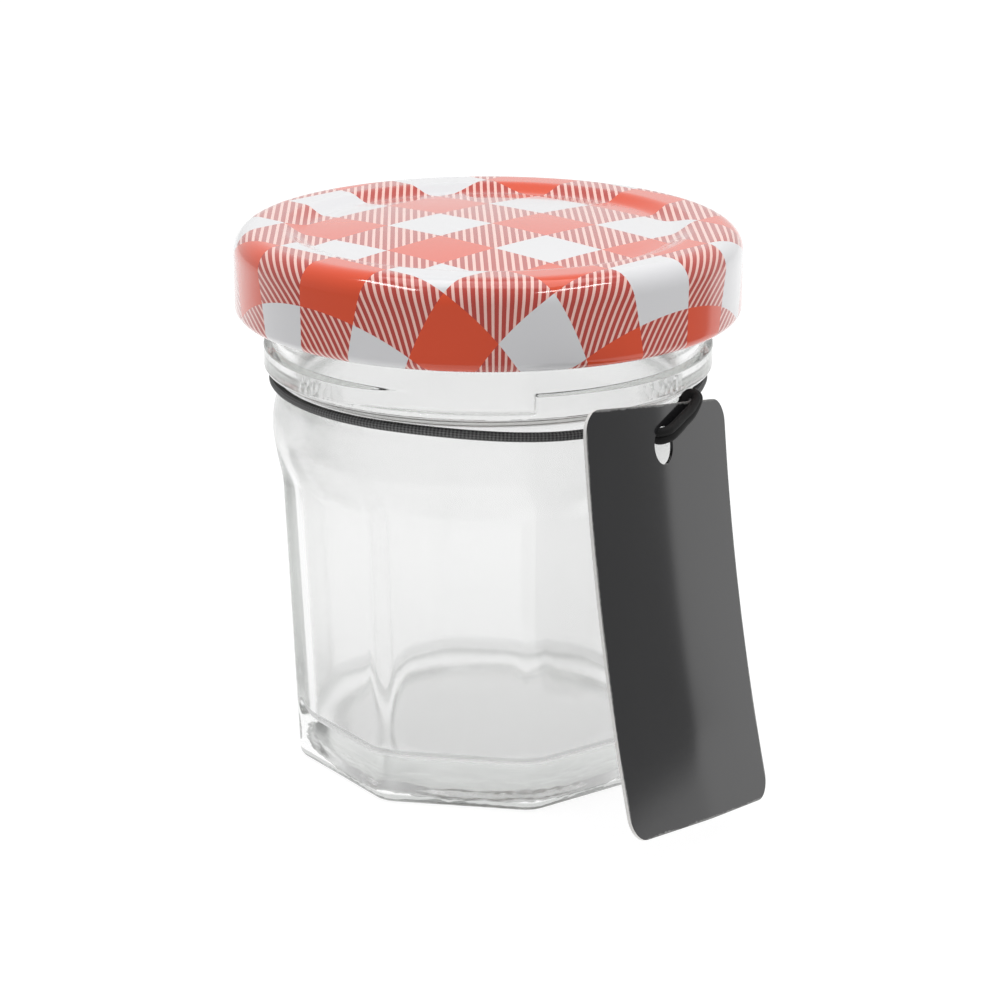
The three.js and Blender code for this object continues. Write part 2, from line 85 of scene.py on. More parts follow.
# %% Wires between nodes
class Wire:
    """One socket of a node tree. Arithmetic on it adds Math nodes."""

    def __init__(self, socket):
        self.socket = socket
        self.tree = socket.id_data

    @classmethod
    def node(cls, tree, kind, settings=None, sockets=None, out=0):
        """Add a node: its settings first, then the values or links of its sockets. Gives one of its outputs."""
        made = tree.nodes.new(kind)
        for name, value in (settings or {}).items():
            if name == "stops":
                for place, colour in value[2:]:
                    made.color_ramp.elements.new(place)
                for stop, (place, colour) in zip(made.color_ramp.elements, value):
                    stop.position = place
                    stop.color = colour
            else:
                setattr(made, name, value)
        for name, value in (sockets or {}).items():
            if isinstance(value, cls):
                tree.links.new(value.socket, made.inputs[name])
            else:
                made.inputs[name].default_value = value
        return cls(made.outputs[out]) if made.outputs else made

    def also(self, name):
        """Another output of the same node."""
        return Wire(self.socket.node.outputs[name])

    def math(self, operation, *values):
        return self.node(self.tree, "ShaderNodeMath", {"operation": operation}, dict(enumerate(values)))

    def __add__(self, other):
        return self.math("ADD", self, other)

    def __radd__(self, other):
        return self.math("ADD", other, self)

    def __sub__(self, other):
        return self.math("SUBTRACT", self, other)

    def __rsub__(self, other):
        return self.math("SUBTRACT", other, self)

    def __mul__(self, other):
        return self.math("MULTIPLY", self, other)

    def __rmul__(self, other):
        return self.math("MULTIPLY", other, self)

    def __truediv__(self, other):
        return self.math("DIVIDE", self, other)

    def __abs__(self):
        return self.math("ABSOLUTE", self)

    def __lt__(self, other):
        return self.math("LESS_THAN", self, other)

    def __gt__(self, other):
        return self.math("GREATER_THAN", self, other)

    def floor(self):
        return self.math("FLOOR", self)

    def fract(self):
        return self.math("FRACT", self)

    def sin(self):
        return self.math("SINE", self)

    def cos(self):
        return self.math("COSINE", self)

    def sqrt(self):
        return self.math("SQRT", self)

    def larger(self, other):
        return self.math("MAXIMUM", self, other)

    def ease(self, start, end):
        """0 before start, 1 after end, smooth in between."""
        settings = {"interpolation_type": "SMOOTHSTEP"}
        return self.node(self.tree, "ShaderNodeMapRange", settings, {0: self, 1: start, 2: end})


# %% A finish and its shader
def finish_named(name):
    """A new material with only a Principled shader in it. Gives the material, its tree and the shader."""
    material = bpy.data.materials.new(name)
    material.use_nodes = True
    tree = material.node_tree
    shader = next(n for n in tree.nodes if n.type == "BSDF_PRINCIPLED")
    return material, tree, shader


def feed(shader, **values):
    """Set a shader's sockets, or link wires to them. Underscores in names stand for spaces."""
    for name, value in values.items():
        socket = shader.inputs[name.replace("_", " ")]
        if isinstance(value, Wire):
            value.tree.links.new(value.socket, socket)
        else:
            socket.default_value = value


def blend_colour(tree, share, first, second):
    """A colour between two, by a share from 0 to 1."""
    settings = {"data_type": "RGBA", "blend_type": "MIX"}
    return Wire.node(tree, "ShaderNodeMix", settings, {0: share, 6: first, 7: second}, out=2)


def bumped(tree, height, distance, strength=1.0):
    """A normal that follows a height, in metres of relief."""
    return Wire.node(tree, "ShaderNodeBump", {}, {"Strength": strength, "Distance": distance, "Height": height})


def object_place(tree):
    """The place of a point in its piece's own frame, in metres."""
    return Wire.node(tree, "ShaderNodeTexCoord", out="Object")


def speckle(tree, place, scale, detail=2.0):
    """Fine noise around 0.5."""
    sockets = {"Vector": place, "Scale": scale, "Detail": detail}
    return Wire.node(tree, "ShaderNodeTexNoise", {}, sockets)


# %% A piece grown by Geometry Nodes
def shape_tree(name, **inputs):
    """A Geometry Nodes tree with named inputs. Gives the tree and a wire for each input, the geometry first."""
    tree = bpy.data.node_groups.new(name, "GeometryNodeTree")
    tree.interface.new_socket("Geometry", in_out="INPUT", socket_type="NodeSocketGeometry")
    for label, kind in inputs.items():
        tree.interface.new_socket(label, in_out="INPUT", socket_type="NodeSocket" + kind)
    tree.interface.new_socket("Geometry", in_out="OUTPUT", socket_type="NodeSocketGeometry")
    start = tree.nodes.new("NodeGroupInput")
    return tree, [Wire(socket) for socket in start.outputs[: len(inputs) + 1]]


def store(tree, geometry, label, value, kind="FLOAT", domain="POINT"):
    """Keep a value on the geometry under a name."""
    settings = {"data_type": kind, "domain": domain}
    sockets = {0: geometry, "Name": label, "Value": value}
    return Wire.node(tree, "GeometryNodeStoreNamedAttribute", settings, sockets)


def recall(tree, label, kind="FLOAT"):
    """A value that is kept under a name."""
    return Wire.node(tree, "GeometryNodeInputNamedAttribute", {"data_type": kind}, {"Name": label})


def close_tree(tree, geometry, material):
    """End a tree: real geometry, smooth shading, its material, out."""
    real = Wire.node(tree, "GeometryNodeRealizeInstances", {}, {0: geometry})
    shaded = Wire.node(tree, "GeometryNodeSetShadeSmooth", {}, {0: real})
    done = Wire.node(tree, "GeometryNodeSetMaterial", {}, {0: shaded, "Material": material})
    Wire.node(tree, "NodeGroupOutput", {}, {0: done})


def grown(name, seed, tree, **sizes):
    """A plain mesh object from a seed mesh and a tree, with the tree's inputs set by their identifiers."""
    piece = placed(name, seed)
    modifier = piece.modifiers.new("growth", "NODES")
    modifier.node_group = tree
    for item in tree.interface.items_tree:
        if item.in_out == "INPUT" and item.name in sizes:
            modifier[item.identifier] = sizes[item.name]
    graph = bpy.context.evaluated_depsgraph_get()
    shown = piece.evaluated_get(graph)
    mesh = bpy.data.meshes.new_from_object(shown, preserve_all_data_layers=True, depsgraph=graph)
    piece.modifiers.clear()
    piece.data = mesh
    mesh.name = name
    triangles = sum(len(face.vertices) - 2 for face in mesh.polygons)
    print(name, "-", triangles, "triangles")
    return piece


def polyline(name, points, **values):
    """A mesh of points joined in order, with a named number on each point."""
    mesh = bpy.data.meshes.new(name)
    mesh.from_pydata(points, [(i, i + 1) for i in range(len(points) - 1)], [])
    for label, numbers in values.items():
        attribute = mesh.attributes.new(label, "FLOAT", "POINT")
        attribute.data.foreach_set("value", numbers)
    return mesh


# %% [markdown]
# The cord is a black elastic loop that sits in the groove of the neck and is hitched through the tag. It is made
# first, because its length is a fact of the object. A bevelled curve would give a smooth pipe, but a braid shows
# small crossing ribs, so Geometry Nodes sweeps a round section along the route and pushes the surface out along
# two sets of helices. The hitch is pulled tight: its two strands press together and its ribs lie flat, and it is
# painted in the darkest colour of the braid all over, a painted shade.

# %% Sizes of the cord and the card
CORD = 0.85
CORD_GAP = 0.3
GROOVE_RADIUS = 19.6
GROOVE_HEIGHT = 35.95
HITCH_ACROSS = 6.1
HITCH_BELOW = 0.35
LOOP_RISE = 0.15
LOOP_SAG = 0.65
SAG_REACH = math.radians(50)
HITCH_GAP = 0.15
END_BELOW = 0.15  # ends of the hitch, under the card's top edge
END_BEHIND = 1.06  # and behind its face
EDGE_ACROSS = 6.5  # where the two strands cross the top edge
EDGE_DIP = 0.08
FRONT_DROP = 0.9  # how much lower the front strand runs behind the card
HOLE_PRESS = 0.7  # share of the free distance left between the strands at the hole
EDGE_PRESS = 0.35  # and at the top edge
ROUTE_STEPS = 12
RING_STEPS = 32
CARD_WIDTH = 25
CARD_LENGTH = 35.7
CARD_THICKNESS = 0.28
CARD_CORNER = 2.2
CARD_SLICES = 40
HOLE_RADIUS = 1.65
HOLE_DEPTH = 3.5
HOLE_ACROSS = 0.3
CREASE_ACROSS = 0.4
CREASE_RISE = 0.3
CREASE_TURN = math.radians(1.5)
CREASE_SLICE = 0.6
CARD_FACING = math.radians(67.5)
CARD_TILT = math.radians(-11)
CARD_OUT, CARD_ASIDE, CARD_RISE = 22.3, -8.55, 2.55
LEAN_TOP, LEAN_BOTTOM = math.radians(10.2), math.radians(18.9)

# %% Where the card hangs
level = Vector((math.cos(CARD_FACING), math.sin(CARD_FACING), 0))
outward = Vector((math.sin(CARD_FACING), -math.cos(CARD_FACING), 0))
across = Matrix.Rotation(CARD_TILT, 3, outward) @ level
upward = outward.cross(across)
card_top = outward * CARD_OUT + level * CARD_ASIDE + Vector((0, 0, GROOVE_HEIGHT + CARD_RISE))
BEND = LEAN_BOTTOM - LEAN_TOP
BEND_RADIUS = CARD_LENGTH / BEND


def card_point(distance, depth=0.0):
    """How far out and up the bent card's face lies, at a distance from its top edge."""
    lean = LEAN_TOP + BEND * distance / CARD_LENGTH
    out = BEND_RADIUS * (math.cos(LEAN_TOP) - math.cos(lean)) - depth * math.cos(lean)
    up = BEND_RADIUS * (math.sin(LEAN_TOP) - math.sin(lean)) - depth * math.sin(lean)
    return out, up


def crease(x):
    """How far the card stands proud of its plane: it is folded a little along its height."""
    return CREASE_RISE - math.tan(CREASE_TURN) * (math.hypot(x - CREASE_ACROSS, 1.0) - 1.0)


def from_card(x, y, z):
    """A point given along the card's width, up it and out of its face."""
    return card_top + across * x + upward * y + outward * z


print("card hangs from", tuple(round(x, 2) for x in card_top))


# %% A smooth route through points
def smooth_route(points, steps):
    """Points along a centripetal Catmull-Rom curve."""
    first = points[0] * 2 - points[1]
    last = points[-1] * 2 - points[-2]
    knots = [first, *points, last]
    route = []
    for before, start, end, after in zip(knots, knots[1:], knots[2:], knots[3:]):
        gaps = [max((b - a).length, 1e-9) ** 0.5 for a, b in ((before, start), (start, end), (end, after))]
        leave = (start - before) / gaps[0] - (end - before) / (gaps[0] + gaps[1]) + (end - start) / gaps[1]
        arrive = (end - start) / gaps[1] - (after - start) / (gaps[1] + gaps[2]) + (after - end) / gaps[2]
        leave, arrive = leave * gaps[1], arrive * gaps[1]
        for i in range(steps):
            t = i / steps
            bend = 2 * t**3 - 3 * t**2 + 1
            route.append(
                start * bend + leave * (t**3 - 2 * t**2 + t) + end * (1 - bend) + arrive * (t**3 - t**2)
            )
    return [*route, points[-1]]


def route_length(route):
    return sum((b - a).length for a, b in zip(route, route[1:]))


# %% Route of the loop round the neck
def on_ring(angle, radius, height):
    """A point round the axis. The angle runs from -Y towards +X."""
    return Vector((radius * math.sin(angle), -radius * math.cos(angle), height))


def lead_in(end, side, low):
    """From the hitch to where the cord touches the groove, and the angle of that place."""
    angle = math.atan2(end.x, -end.y)
    reach = math.acos(GROOVE_RADIUS / math.hypot(end.x, end.y))
    points = [end]
    for i in (3, 2, 1):
        left = reach * i / 4
        height = low + (end.z - low) * (i / 4) ** 3
        points.append(on_ring(angle + side * (reach - left), GROOVE_RADIUS / math.cos(left), height))
    return points, angle + side * reach


def strand_end(side):
    """Where the loop meets the hitch behind the card: the front strand for side 1, the rear one for -1."""
    behind = CORD / 2 + CORD_GAP + CARD_THICKNESS
    if side > 0:
        return from_card(HITCH_ACROSS, -HITCH_BELOW - FRONT_DROP, -behind)
    return from_card(HITCH_ACROSS + (CORD + HITCH_GAP) / 2, -HITCH_BELOW, -behind)


def sag(left):
    """How far the cord sags, at an angle before it leaves the groove at the front."""
    return LOOP_SAG * (1 + math.cos(math.pi * min(left / SAG_REACH, 1))) / 2


ring_height = GROOVE_HEIGHT + LOOP_RISE
rear, rear_angle = lead_in(strand_end(-1), 1, ring_height)
front, front_angle = lead_in(strand_end(1), -1, ring_height - LOOP_SAG)
turn = front_angle + 2 * math.pi - rear_angle
ring = []
for i in range(RING_STEPS + 1):
    left = turn * (1 - i / RING_STEPS)
    ring.append(on_ring(rear_angle + turn - left, GROOVE_RADIUS, ring_height - sag(left)))
loop_route = smooth_route([*rear, *ring, *reversed(front)], ROUTE_STEPS)
print("loop round the neck: %.1f mm" % route_length(loop_route))


# %% Route of the hitch
def hitch_strand(side):
    """One of the two strands: over the card's top edge, down its face and into the hole."""
    lift = CORD / 2 + HITCH_GAP
    apart = (CORD + HITCH_GAP) / 2
    at_hole, at_edge = apart * HOLE_PRESS, apart * EDGE_PRESS
    end, low = (HITCH_ACROSS, END_BELOW + FRONT_DROP) if side > 0 else (HITCH_ACROSS + apart, END_BELOW)
    edge = EDGE_ACROSS - side * at_edge
    eye = card_point(HOLE_DEPTH)
    pull = HOLE_RADIUS - CORD / 2 - at_hole
    way = Vector((EDGE_ACROSS - HOLE_ACROSS, -eye[1])).normalized()
    start = Vector((HOLE_ACROSS - way.y * pull, eye[1] + way.x * pull))
    whole = math.hypot(EDGE_ACROSS - start.x, start.y)
    along = Vector((EDGE_ACROSS - start.x, -start.y)) / whole
    rim = math.sqrt(HOLE_RADIUS**2 - (pull + side * at_hole) ** 2)

    def on_face(distance, above):
        aside = side * (at_hole + (at_edge - at_hole) * distance / whole)
        x = start.x + along.x * distance - along.y * aside
        y = start.y + along.y * distance + along.x * aside
        return from_card(x, y, card_point(max(-y, 0))[0] + crease(x) + above)

    slant = lift * math.sqrt(0.5)
    strand = [
        from_card(end, -low, -END_BEHIND),
        from_card((end + edge) / 2, lift - EDGE_DIP, -1.5 * CARD_THICKNESS),
        from_card(edge, lift + HITCH_GAP / 2, -CARD_THICKNESS / 2),
        from_card(edge, slant, slant),
        on_face(whole * 3 / 4, lift),
        on_face(whole / 2, lift),
        on_face(rim + CORD / 2, lift),
        on_face(rim / 2, CORD / 2),
        on_face(0, -CARD_THICKNESS / 2),
        on_face(0, -CARD_THICKNESS - lift / 2),
    ]
    return strand, from_card(start.x, start.y, eye[0] - CARD_THICKNESS - lift / 2 - apart)


strand_one, hitch_turn = hitch_strand(1)
strand_two, _ = hitch_strand(-1)
hitch_route = smooth_route([*strand_one, hitch_turn, *reversed(strand_two)], ROUTE_STEPS)
print("hitch: %.1f mm" % route_length(hitch_route))

# %% [markdown]
# Black elastic is dull, with a soft sheen along the crowns of its braid: partly a real sheen on the shader, partly
# a painted sheen, as the colour is painted lighter on the crowns. The rise of the braid is kept on the mesh as a
# number, so the colour can be painted darker in the valleys, a painted shade, without any picture.

# %% Elastic finish
elastic, tree, shader = finish_named("black_elastic")
rise = Wire.node(tree, "ShaderNodeAttribute", {"attribute_name": "rise"}, out="Fac")
spot = object_place(tree)
fuzz = speckle(tree, spot, 6000)
# Colour by the rise of the braid: painted sheen on the crowns, painted shade in the valleys, random tone from the
# fuzz.
yarn_with_painted_light = blend_colour(tree, rise * (0.4 + fuzz), (0.013, 0.013, 0.013, 1), (0.26, 0.262, 0.26, 1))
feed(shader, Base_Color=yarn_with_painted_light, Roughness=0.62 + fuzz * 0.2, Normal=bumped(tree, fuzz, 0.00003, 0.5))
feed(shader, Sheen_Weight=0.05, Sheen_Roughness=0.4, Specular_IOR_Level=0.2)

# %% Braid swept along a route
BRAID_RELIEF = 0.03
BRAID_LEVEL = 0.7  # share of the rise that lies on the cord's own radius
BRAID_PITCH = 1.3
YARNS = 6
BRAID_STEP = 0.07
BRAID_SIDES = 24

braid, (line, width, pitch, crown) = shape_tree("braided_cord", Width="Float", Pitch="Float", Crown="Float")
curve = Wire.node(braid, "GeometryNodeMeshToCurve", {}, {0: line})
even = Wire.node(braid, "GeometryNodeResampleCurve", {"mode": "LENGTH"},
                 {"Curve": curve, "Length": BRAID_STEP * MM})
travel = Wire.node(braid, "GeometryNodeSplineParameter", out="Length")
kept = store(braid, even, "along", travel)
circle = Wire.node(braid, "GeometryNodeCurvePrimitiveCircle", {},
                   {"Resolution": BRAID_SIDES, "Radius": width / 2})
bearing = Wire.node(braid, "GeometryNodeSplineParameter", out="Factor")
section = store(braid, circle, "around", bearing)
tube = Wire.node(braid, "GeometryNodeCurveToMesh", {},
                 {"Curve": kept, "Profile Curve": section, "Fill Caps": True})
along, around = recall(braid, "along"), recall(braid, "around")
lay = along / pitch * (2 * math.pi)
winding = around * (2 * math.pi * YARNS)
weave = (winding + lay * 2).sin() * (winding - lay * 2).sin()
height = (weave * 0.5 + 0.5) * crown
marked = store(braid, tube, "rise", height)
normal = Wire.node(braid, "GeometryNodeInputNormal")
push = Wire.node(braid, "ShaderNodeVectorMath", {"operation": "SCALE"},
                 {0: normal, "Scale": (height - BRAID_LEVEL) * (BRAID_RELIEF * MM)})
raised = Wire.node(braid, "GeometryNodeSetPosition", {}, {0: marked, "Offset": push})
close_tree(braid, raised, elastic)

# %% Loop and hitch
neck_loop = grown("neck_loop", polyline("loop_line", [p * MM for p in loop_route]), braid,
                  Width=CORD * MM, Pitch=BRAID_PITCH * MM, Crown=1.0)
# The hitch has no rise, so its colour stays at the dark end all over: a painted shade.
tag_knot = grown("tag_knot", polyline("hitch_line", [p * MM for p in hitch_route]), braid,
                 Width=CORD * MM, Pitch=BRAID_PITCH * MM, Crown=0.0)

# %% [markdown]
# The tag is a stiff black card: dark satin print on both faces, a white core that shows along the cut edges, a
# punched hole whose wall is given the dark print instead of the core, a painted shade, and a slight bend along its
# height. It could be a solidified plane, but the hole and the corners are cut through a bent sheet, so the outline
# is filled flat, sliced across, bent by the card's own rule and then closed with a ring of edge faces.


# %% Outline and hole of the card
def arc_points(x, y, radius, start, end, steps):
    """Points of an arc, angles in degrees."""
    angles = [math.radians(start + (end - start) * i / steps) for i in range(steps + 1)]
    return [(x + radius * math.cos(a), y + radius * math.sin(a)) for a in angles]


half = CARD_WIDTH / 2 - CARD_CORNER
corners = ((half, CARD_CORNER, -90), (half, CARD_LENGTH - CARD_CORNER, 0),
           (-half, CARD_LENGTH - CARD_CORNER, 90), (-half, CARD_CORNER, 180))
card_outline = [p for x, y, start in corners for p in arc_points(x, y, CARD_CORNER, start, start + 90, 10)]
card_hole = arc_points(HOLE_ACROSS, HOLE_DEPTH, HOLE_RADIUS, 0, 360, 40)[:-1]


# %% Card mesh
def make_card(name, face_finish, core_finish):
    flat = bmesh.new()
    rims = []
    for outline in (card_outline, card_hole):
        corners = [flat.verts.new((x, y, 0)) for x, y in outline]
        rims += [flat.edges.new((a, b)) for a, b in zip(corners, corners[1:] + corners[:1])]
    bmesh.ops.triangle_fill(flat, edges=rims, use_beauty=True, normal=(0, 0, 1))
    cuts = [((0, CARD_LENGTH * i / CARD_SLICES, 0), (0, 1, 0)) for i in range(1, CARD_SLICES)]
    cuts += [((CREASE_ACROSS + CREASE_SLICE * i, 0, 0), (1, 0, 0)) for i in range(-5, 6)]
    for place, direction in cuts:
        parts = flat.verts[:] + flat.edges[:] + flat.faces[:]
        bmesh.ops.bisect_plane(flat, geom=parts, plane_co=place, plane_no=direction)
    flat.verts.index_update()
    spots = [(v.co.x, v.co.y) for v in flat.verts]
    sheets = [[v.index for v in face.verts] for face in flat.faces]
    borders = [[v.index for v in edge.verts] for edge in flat.edges if edge.is_boundary]
    flat.free()

    count = len(spots)
    points = []
    for depth in (0, CARD_THICKNESS):
        for x, distance in spots:
            out, up = card_point(distance, depth)
            points.append(from_card(x, up, out + crease(x)) * MM)
    faces = sheets + [[i + count for i in reversed(face)] for face in sheets]
    faces += [[a, b, b + count, a + count] for a, b in borders]
    mesh = bpy.data.meshes.new(name)
    mesh.from_pydata(points, [], faces)
    mesh.materials.append(face_finish)
    mesh.materials.append(core_finish)
    layer = mesh.uv_layers.new(name="card")
    for face in mesh.polygons:
        face.use_smooth = True
        x, distance = spots[face.vertices[0] % count]
        # The wall of the hole takes the dark print, not the white core: a painted shade.
        punched = math.hypot(x - HOLE_ACROSS, distance - HOLE_DEPTH) < HOLE_RADIUS + 0.1
        face.material_index = 1 if face.index >= 2 * len(sheets) and not punched else 0
        for corner in face.loop_indices:
            x, distance = spots[mesh.loops[corner].vertex_index % count]
            layer.data[corner].uv = (x, distance)

    shell = bmesh.new()
    shell.from_mesh(mesh)
    bmesh.ops.recalc_face_normals(shell, faces=shell.faces[:])
    shell.to_mesh(mesh)
    shell.free()
    mesh.set_sharp_from_angle(angle=math.radians(35))
    piece = placed(name, mesh)
    print(name, "-", len(mesh.polygons), "faces")
    return piece


# %% [markdown]
# The print on the card is near black with a satin film over it, a faint fibre in the film and scuffs where the
# edges have rubbed. The UV map holds millimetres across and down the card, so the scuffs can follow its edges.

# %% Card finishes
card_film, tree, shader = finish_named("satin_black_card")
place = Wire.node(tree, "ShaderNodeUVMap", {"uv_map": "card"})
x = Wire.node(tree, "ShaderNodeSeparateXYZ", {}, {0: place}, out="X")
y = x.also("Y")
spot = object_place(tree)
fibre = speckle(tree, spot, 2600, 4.0)
cloud = speckle(tree, spot, 220)
from_side = CARD_WIDTH / 2 - abs(x)
from_end = CARD_LENGTH / 2 - abs(y - CARD_LENGTH / 2)
margin = from_side.math("MINIMUM", from_side, from_end)
scuff = 1 - (margin + (cloud - 0.5) * 0.5 + (fibre - 0.5) * 0.3).ease(0.02, 0.22)
film = blend_colour(tree, cloud, (0.012, 0.012, 0.013, 1), (0.017, 0.017, 0.018, 1))
worn = blend_colour(tree, scuff * 0.7, film, (0.32, 0.32, 0.31, 1))
feed(shader, Base_Color=worn, Roughness=0.07 + fibre * 0.06 + scuff * 0.4)
feed(shader, Normal=bumped(tree, fibre * 0.5 + cloud, 0.00002, 0.12), Specular_IOR_Level=0.5)

card_core, tree, shader = finish_named("white_card_core")
spot = object_place(tree)
pulp = speckle(tree, spot, 5200, 3.0)
paper = blend_colour(tree, pulp, (0.60, 0.59, 0.57, 1), (0.85, 0.84, 0.82, 1))
feed(shader, Base_Color=paper, Roughness=0.8 + pulp * 0.1, Normal=bumped(tree, pulp, 0.00003, 0.6))

hang_card = make_card("hang_card", card_film, card_core)

# %% [markdown]
# The jar is one moulded piece of glass. Its shape follows a rule: a profile turned round the axis, drawn out to an
# octagon with rounded edges over the lower body and fading back to a circle at the shoulder. A lathe can't give
# that, so Geometry Nodes lays a grid on the profile and moves each point by the rule. The outside and the inside
# are one closed skin, because light has to enter and leave real glass to bend as it should.

# %% Sizes of the glass
FACETS = 8
FOOT_FLAT = 16.86
TOP_FLAT = 17.86
EDGE_ROUND = 2.5
INNER_EDGE_ROUND = 4.5
HEEL_ROUND = 0.8
WALL = 2.0
FLOOR_THICKNESS = 3.8
FLOOR_ROUND = 0.9
PUSH_UP = 0.8
PUSH_UP_SLOPE = 1.4
STANDING_RING = 2.4
FACET_HEIGHT = 26.5
SHOULDER_HEIGHT = 31.3
SHOULDER_RADIUS = 19.75
SHOULDER_DROOP = 0.05
DROOP_RISE = 1.55
GROOVE_FLANK = 1.5
COLLAR_RADIUS = 20.45
COLLAR_HEIGHT = 37.5
COLLAR_ROUND = 0.25
BAND_TOP = 37.6
RUN_TOP = 39.5
RUNS = 2
RUN_START = 20.4
RUN_LENGTH = 147
RUN_FADE = 16
FINISH_RADIUS = 19.6
NECK_RADIUS = 17.6
LIP_HEIGHT = 48.4
LIP_ROUND = 0.7
THREAD_DEPTH = 1.3
THREAD_BOTTOM = 43.54
THREAD_THICKNESS = 0.9
THREAD_ANGLE = 32
THREAD_LENGTH = 55
LEAD = 12
STARTS = 4
SEAM_ANGLE = 19.5
SEAM_HEIGHT = 0.06
EDGE_CROWDING = 0.75  # how much the columns crowd towards the upright edges


# %% Profile of the glass
def row(radius, height, share=0.0, rounding=0.0, finish=0.0):
    """One row of the skin: radius, height, how faceted it is, edge rounding, and whether it carries threads."""
    return (radius, height, share, rounding, finish)


def straight(start, end, steps):
    """Rows between two rows, without the last."""
    return [tuple(a + (b - a) * i / steps for a, b in zip(start, end)) for i in range(steps)]


def arc_rows(radius, height, rounding, start, end, steps, *rest):
    return [row(*p, *rest) for p in arc_points(radius, height, rounding, start, end, steps)]


def fade_rows(flat, rounded, rounding, steps):
    """Rows between the facets and the round shoulder, going up."""
    rows = []
    for i in range(1, steps):
        t = i / steps
        share = 1 - t * t * (3 - 2 * t)
        height = FACET_HEIGHT + (SHOULDER_HEIGHT - FACET_HEIGHT) * t
        rows.append(row(rounded + (flat - rounded) * share, height, share, rounding))
    return rows


heel = FOOT_FLAT - HEEL_ROUND
hollow = heel - STANDING_RING
ceiling = hollow - PUSH_UP_SLOPE
groove = GROOVE_RADIUS - CORD / 2 - CORD_GAP
foot = straight(row(0, PUSH_UP), row(ceiling, PUSH_UP), 6)
for i in range(10):
    t = i / 10
    foot.append(row(ceiling + PUSH_UP_SLOPE * t, PUSH_UP * (1 - t * t * (3 - 2 * t))))
foot += straight(row(hollow, 0), row(heel, 0, 1, EDGE_ROUND), 6)
foot += arc_rows(heel, HEEL_ROUND, HEEL_ROUND, -90, 0, 8, 1, EDGE_ROUND)
facet_top = row(TOP_FLAT, FACET_HEIGHT, 1, EDGE_ROUND)
body = straight(row(FOOT_FLAT, HEEL_ROUND, 1, EDGE_ROUND), facet_top, 14)[1:]
body += [facet_top] + fade_rows(TOP_FLAT, SHOULDER_RADIUS, EDGE_ROUND, 18)

shoulder = [
    Vector((SHOULDER_RADIUS, SHOULDER_HEIGHT)),
    Vector((SHOULDER_RADIUS - SHOULDER_DROOP, SHOULDER_HEIGHT + DROOP_RISE)),
    Vector(((SHOULDER_RADIUS + groove) / 2, GROOVE_HEIGHT - GROOVE_FLANK)),
    Vector((groove, GROOVE_HEIGHT - CORD / 2)),
    Vector((groove, GROOVE_HEIGHT + CORD / 2)),
    Vector((COLLAR_RADIUS - COLLAR_ROUND / 2, COLLAR_HEIGHT - COLLAR_ROUND)),
    Vector((COLLAR_RADIUS, COLLAR_HEIGHT)),
    Vector((COLLAR_RADIUS, BAND_TOP)),
]
neck = [row(p.x, p.y) for p in smooth_route(shoulder, 7)]
neck += arc_rows(COLLAR_RADIUS - COLLAR_ROUND, BAND_TOP, COLLAR_ROUND, 10, 80, 5, 0, 0, 1)
ledge = BAND_TOP + COLLAR_ROUND
lip = LIP_HEIGHT - LIP_ROUND
finish_rows = [row(FINISH_RADIUS + 0.2, ledge + 0.02, 0, 0, 1)]
for height in (ledge + 0.2, RUN_TOP - 0.3, RUN_TOP + 0.05, lip):
    finish_rows.append(row(FINISH_RADIUS, height, 0, 0, 1))
for start, end, steps in zip(finish_rows, finish_rows[1:], (3, 6, 12, 60)):
    neck += straight(start, end, steps)
neck += arc_rows(FINISH_RADIUS - LIP_ROUND, lip, LIP_ROUND, 0, 90, 8)
neck += arc_rows(NECK_RADIUS + LIP_ROUND, lip, LIP_ROUND, 90, 180, 8)

top_inner = TOP_FLAT - WALL
neck_foot = row(NECK_RADIUS, SHOULDER_HEIGHT)
inside = straight(row(NECK_RADIUS, lip), neck_foot, 12)[1:] + [neck_foot]
inside += fade_rows(top_inner, NECK_RADIUS, INNER_EDGE_ROUND, 18)[::-1]
flat_floor = FOOT_FLAT - WALL - FLOOR_ROUND
well = arc_rows(flat_floor, FLOOR_THICKNESS + FLOOR_ROUND, FLOOR_ROUND, 0, -90, 14, 1, INNER_EDGE_ROUND)
inside += straight(row(top_inner, FACET_HEIGHT, 1, INNER_EDGE_ROUND), well[0], 12) + well
inside += straight(well[-1], row(0, FLOOR_THICKNESS), 6)[1:] + [row(0, FLOOR_THICKNESS)]
jar_rows = (foot + body + neck + inside)[::-1]
print("glass profile:", len(jar_rows), "rows")

# %% [markdown]
# Clear pressed glass has almost no colour: a breath of green where light goes a long way through it, faint waves
# from the mould, a mottled base, a fine stipple on the ring it stands on and a knurl on the narrow band of the
# collar. A volume takes the colour by the length of the way, as in real glass, so the edges and the base come out
# darker than the walls. Transmission and the bend of light stay constant on the shader. The normal changes over the
# surface, with a faint haze on the shoulder and in the well. The heel and the inner corner are painted grey, a
# painted shade, and two rough patches of the collar are grey too. Each place is a mask on the height and the
# distance from the axis, in millimetres.


# %% Glass finish
def over(wire, start, end):
    """0 below start and 1 above end, both in millimetres."""
    return wire.ease(start * MM, end * MM)


def under(wire, start, end):
    """1 below start and 0 above end, both in millimetres."""
    return 1 - wire.ease(start * MM, end * MM)


